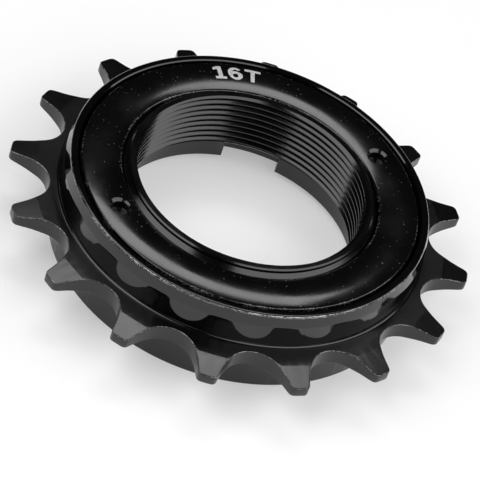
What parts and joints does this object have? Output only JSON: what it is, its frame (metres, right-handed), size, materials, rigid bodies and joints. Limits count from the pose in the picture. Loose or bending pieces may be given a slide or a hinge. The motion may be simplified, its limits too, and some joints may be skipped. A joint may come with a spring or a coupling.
{
  "type": "single speed freewheel",
  "caption": "Toothed one-way bicycle sprocket on a threaded core, with ball rows, spring pawls, a crowned cone ring with pin spanner holes and notches for a remover.",
  "frame": {"origin": "on the axis, in the plane of the sprocket barrel's outboard rim, on which the part rests", "axes": "+Z along the axis, from the outboard notched side towards the hub shoulder; +X through the middle of one remover notch"},
  "size_m": [0.0688, 0.0688, 0.0144],
  "materials": {
    "black_coating": "gloss black",
    "hardened_steel": "hardened, fine ground",
    "bright_steel": "bright rolled",
    "bearing_steel": "polished",
    "marking": "pale etched mark"
  },
  "bodies": {
    "core": {"core": "black_coating", "cone_ring": "black_coating", "shim_1": "bright_steel", "shim_2": "bright_steel", "shim_3": "bright_steel", "pawl_spring_1": "bright_steel", "pawl_spring_2": "bright_steel"},
    "sprocket": {"sprocket": "black_coating"},
    "lower_balls": {"lower_balls": "bearing_steel"},
    "upper_balls": {"upper_balls": "bearing_steel"},
    "pawl_1": {"pawl_1": "hardened_steel"},
    "pawl_2": {"pawl_2": "hardened_steel"}
  },
  "joints": [
    {"name": "sprocket_spin", "type": "hinge", "parent": "core", "child": "sprocket", "pos_m": [0, 0, 0], "axis": [0, 0, 1], "continuous": true},
    {"name": "lower_ball_orbit", "type": "hinge", "parent": "core", "child": "lower_balls", "pos_m": [0, 0, 0], "axis": [0, 0, 1], "continuous": true},
    {"name": "upper_ball_orbit", "type": "hinge", "parent": "core", "child": "upper_balls", "pos_m": [0, 0, 0], "axis": [0, 0, 1], "continuous": true},
    {"name": "pawl_1_pivot", "type": "hinge", "parent": "core", "child": "pawl_1", "pos_m": [0.01446, 0.01446, 0.007], "axis": [0, 0, -1], "range_deg": [0, 14], "stiffness_Nm_per_rad": 0.008, "springref_deg": -17.19, "deforming": ["pawl_spring_1"]},
    {"name": "pawl_2_pivot", "type": "hinge", "parent": "core", "child": "pawl_2", "pos_m": [-0.01446, -0.01446, 0.007], "axis": [0, 0, -1], "range_deg": [0, 14], "stiffness_Nm_per_rad": 0.008, "springref_deg": -17.19, "deforming": ["pawl_spring_2"]}
  ]
}
